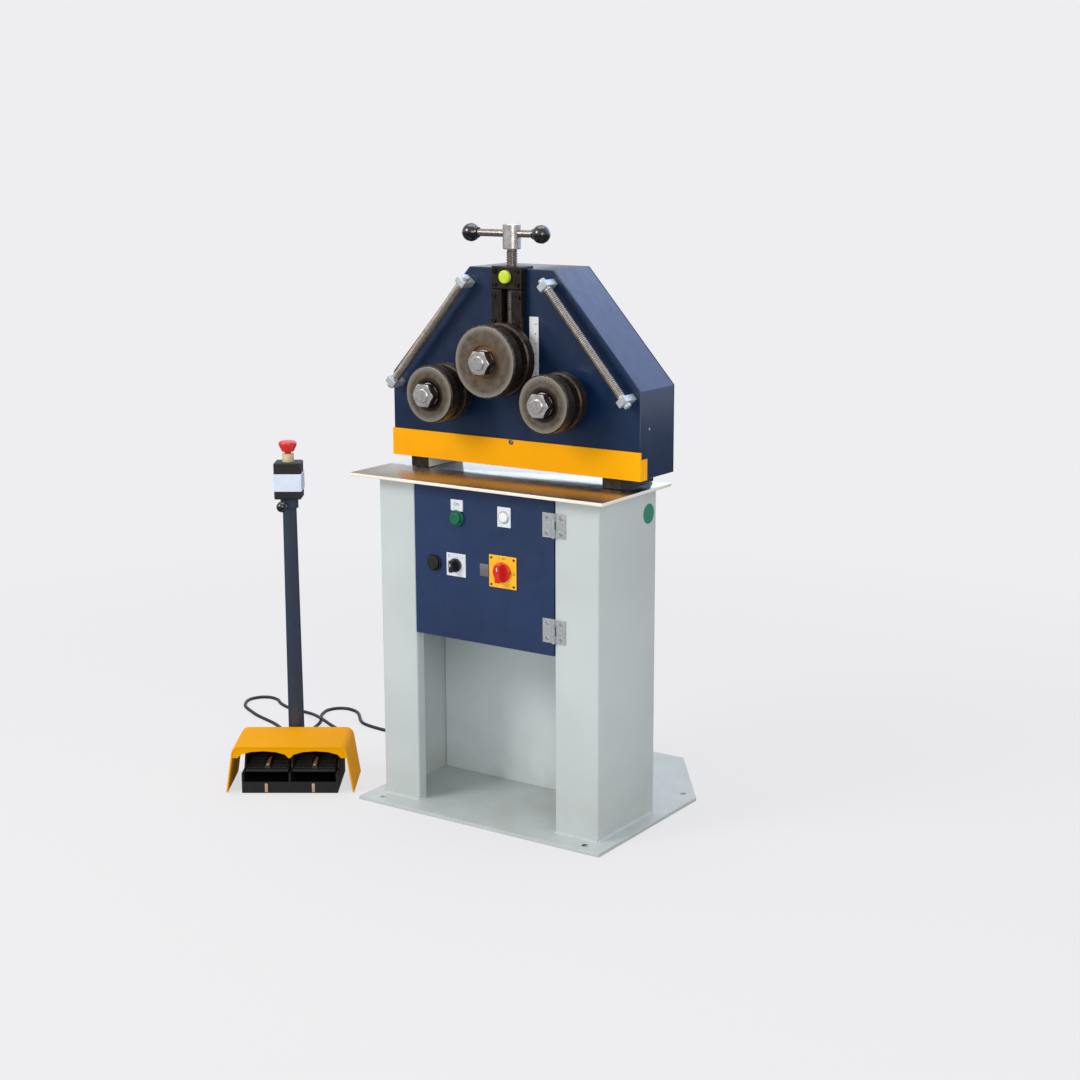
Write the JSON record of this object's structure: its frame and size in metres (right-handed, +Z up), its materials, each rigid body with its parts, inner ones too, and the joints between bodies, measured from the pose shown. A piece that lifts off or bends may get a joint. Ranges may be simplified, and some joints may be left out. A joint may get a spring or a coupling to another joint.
{
  "type": "ring roller",
  "caption": "Floor-standing ring roller: grooved bending rolls on a five-sided head, screw-set slide, sheet stand with cabinet, and a corded foot station.",
  "frame": {"origin": "centre of the base plate's underside, on the floor", "axes": "+X to the right along the front, +Y to the back, +Z up"},
  "size_m": [1.3258, 0.7462, 1.2452],
  "materials": {
    "stand_paint": "satin light grey enamel",
    "table_paint": "high-gloss grey enamel",
    "door_paint": "satin blue-grey enamel",
    "head_paint": "satin dark blue enamel",
    "guard_paint": "satin yellow enamel",
    "roll_steel": "turned and oiled tool steel",
    "bright_steel": "bright turned steel",
    "slide_steel": "blackened ground steel",
    "zinc": "zinc plated",
    "rule_aluminium": "brushed",
    "black_plastic": "fine moulded texture",
    "gloss_black": "polished phenolic",
    "pale_plastic": "satin",
    "green_plastic": "satin",
    "yellow_plastic": "satin",
    "red_plastic": "semi-gloss",
    "cap_plastic": "semi-gloss",
    "motor_paint": "satin grey enamel",
    "cord_jacket": "smooth matt jacket"
  },
  "bodies": {
    "frame": {"base_plate": "stand_paint", "stand_left_column": "stand_paint", "stand_right_column": "stand_paint", "stand_back_panel": "stand_paint", "table_plate": "table_paint", "control_cabinet": "stand_paint", "cabinet_equipment": "pale_plastic", "hinge_upper_frame_leaf": "zinc", "hinge_lower_frame_leaf": "zinc", "head_housing": "head_paint", "head_rear_cover": "head_paint", "head_foot_left": "slide_steel", "head_foot_right": "slide_steel", "roll_guard": "guard_paint", "slide_rail_left": "slide_steel", "slide_rail_right": "slide_steel", "slide_top_block": "slide_steel", "block_cap": "cap_plastic", "scale_rule": "rule_aluminium", "guide_spindle_left": "zinc", "guide_spindle_right": "zinc", "gearmotor": "motor_paint", "foot_base": "black_plastic", "foot_hood": "guard_paint", "post": "motor_paint", "control_box": "black_plastic", "control_cord": "cord_jacket"},
    "door": {"door": "door_paint", "hinge_upper_door_leaf": "zinc", "hinge_lower_door_leaf": "zinc", "start_bezel": "green_plastic", "pilot_lamp": "pale_plastic", "selector_plate": "pale_plastic", "main_switch_plate": "yellow_plastic"},
    "start_button": {"start_button": "green_plastic"},
    "jog_button": {"jog_button": "black_plastic"},
    "selector": {"selector_knob": "black_plastic"},
    "main_switch": {"main_switch_knob": "red_plastic"},
    "carriage": {"carriage": "slide_steel"},
    "spindle": {"adjusting_spindle": "bright_steel"},
    "cross_bar": {"t_bar": "bright_steel", "bar_knob_left": "gloss_black", "bar_knob_right": "gloss_black"},
    "upper_roll": {"upper_shaft": "bright_steel", "upper_roll_front": "roll_steel", "upper_roll_rear": "roll_steel", "upper_nut": "bright_steel"},
    "lower_left_roll": {"lower_left_shaft": "bright_steel", "lower_left_roll_front": "roll_steel", "lower_left_roll_rear": "roll_steel", "lower_left_nut": "bright_steel"},
    "lower_right_roll": {"lower_right_shaft": "bright_steel", "lower_right_roll_front": "roll_steel", "lower_right_roll_rear": "roll_steel", "lower_right_nut": "bright_steel"},
    "pinion": {"drive_pinion": "bright_steel"},
    "pedal_left": {"pedal_left": "black_plastic"},
    "pedal_right": {"pedal_right": "black_plastic"},
    "stop_button": {"stop_button": "red_plastic"},
    "clamp_knob": {"clamp_knob": "gloss_black"}
  },
  "joints": [
    {"name": "door_hinge", "type": "hinge", "parent": "frame", "child": "door", "pos_m": [0.171, -0.2615, 0.548], "axis": [0, 0, 1], "range_deg": [0, 110]},
    {"name": "start_press", "type": "slide", "parent": "door", "child": "start_button", "axis": [0, 1, 0], "range_m": [0, 0.0035], "stiffness_N_per_m": 300, "springref_m": -0.001},
    {"name": "jog_press", "type": "slide", "parent": "door", "child": "jog_button", "axis": [0, 1, 0], "range_m": [0, 0.0035], "stiffness_N_per_m": 300, "springref_m": -0.001},
    {"name": "selector_turn", "type": "hinge", "parent": "door", "child": "selector", "pos_m": [-0.0725, -0.265, 0.5465], "axis": [0, -1, 0], "range_deg": [-45, 45]},
    {"name": "main_switch_turn", "type": "hinge", "parent": "door", "child": "main_switch", "pos_m": [0.046, -0.265, 0.546], "axis": [0, -1, 0], "range_deg": [-90, 0]},
    {"name": "spindle_turn", "type": "hinge", "parent": "carriage", "child": "spindle", "pos_m": [0, -0.154, 1.225], "axis": [0, 0, 1], "range_deg": [-2376, 4824]},
    {"name": "carriage_slide", "type": "slide", "parent": "frame", "child": "carriage", "axis": [0, 0, 1], "range_m": [-0.0331, 0.0671]},
    {"name": "bar_slide", "type": "slide", "parent": "spindle", "child": "cross_bar", "axis": [1, 0, 0], "range_m": [-0.033, 0.063]},
    {"name": "upper_roll_turn", "type": "hinge", "parent": "carriage", "child": "upper_roll", "pos_m": [0, -0.2, 0.973], "axis": [0, -1, 0], "continuous": true},
    {"name": "lower_left_roll_turn", "type": "hinge", "parent": "frame", "child": "lower_left_roll", "pos_m": [-0.142, -0.2, 0.897], "axis": [0, -1, 0], "continuous": true},
    {"name": "lower_right_roll_turn", "type": "hinge", "parent": "frame", "child": "lower_right_roll", "pos_m": [0.142, -0.2, 0.897], "axis": [0, -1, 0], "continuous": true},
    {"name": "pinion_turn", "type": "hinge", "parent": "frame", "child": "pinion", "pos_m": [0, -0.1, 0.897], "axis": [0, -1, 0], "continuous": true},
    {"name": "pedal_left_press", "type": "hinge", "parent": "frame", "child": "pedal_left", "pos_m": [-0.57049, -0.2913, 0.055], "axis": [0.8339, 0.5519, 0], "range_deg": [0, 8], "stiffness_Nm_per_rad": 0.8, "springref_deg": -11.46},
    {"name": "pedal_right_press", "type": "hinge", "parent": "frame", "child": "pedal_right", "pos_m": [-0.48377, -0.2339, 0.055], "axis": [0.8339, 0.5519, 0], "range_deg": [0, 8], "stiffness_Nm_per_rad": 0.8, "springref_deg": -11.46},
    {"name": "stop_press", "type": "slide", "parent": "frame", "child": "stop_button", "axis": [0, 0, -1], "range_m": [0, 0.004]},
    {"name": "clamp_turn", "type": "hinge", "parent": "frame", "child": "clamp_knob", "pos_m": [-0.55973, -0.22422, 0.619], "axis": [0.3173, -0.9483, 0], "range_deg": [0, 360]}
  ],
  "couplings": [
    {"joint": "carriage_slide", "follows": "spindle_turn", "m_per_rad": 0.00079577},
    {"joint": "lower_right_roll_turn", "follows": "lower_left_roll_turn", "ratio": 1},
    {"joint": "pinion_turn", "follows": "lower_left_roll_turn", "ratio": -2.381}
  ]
}
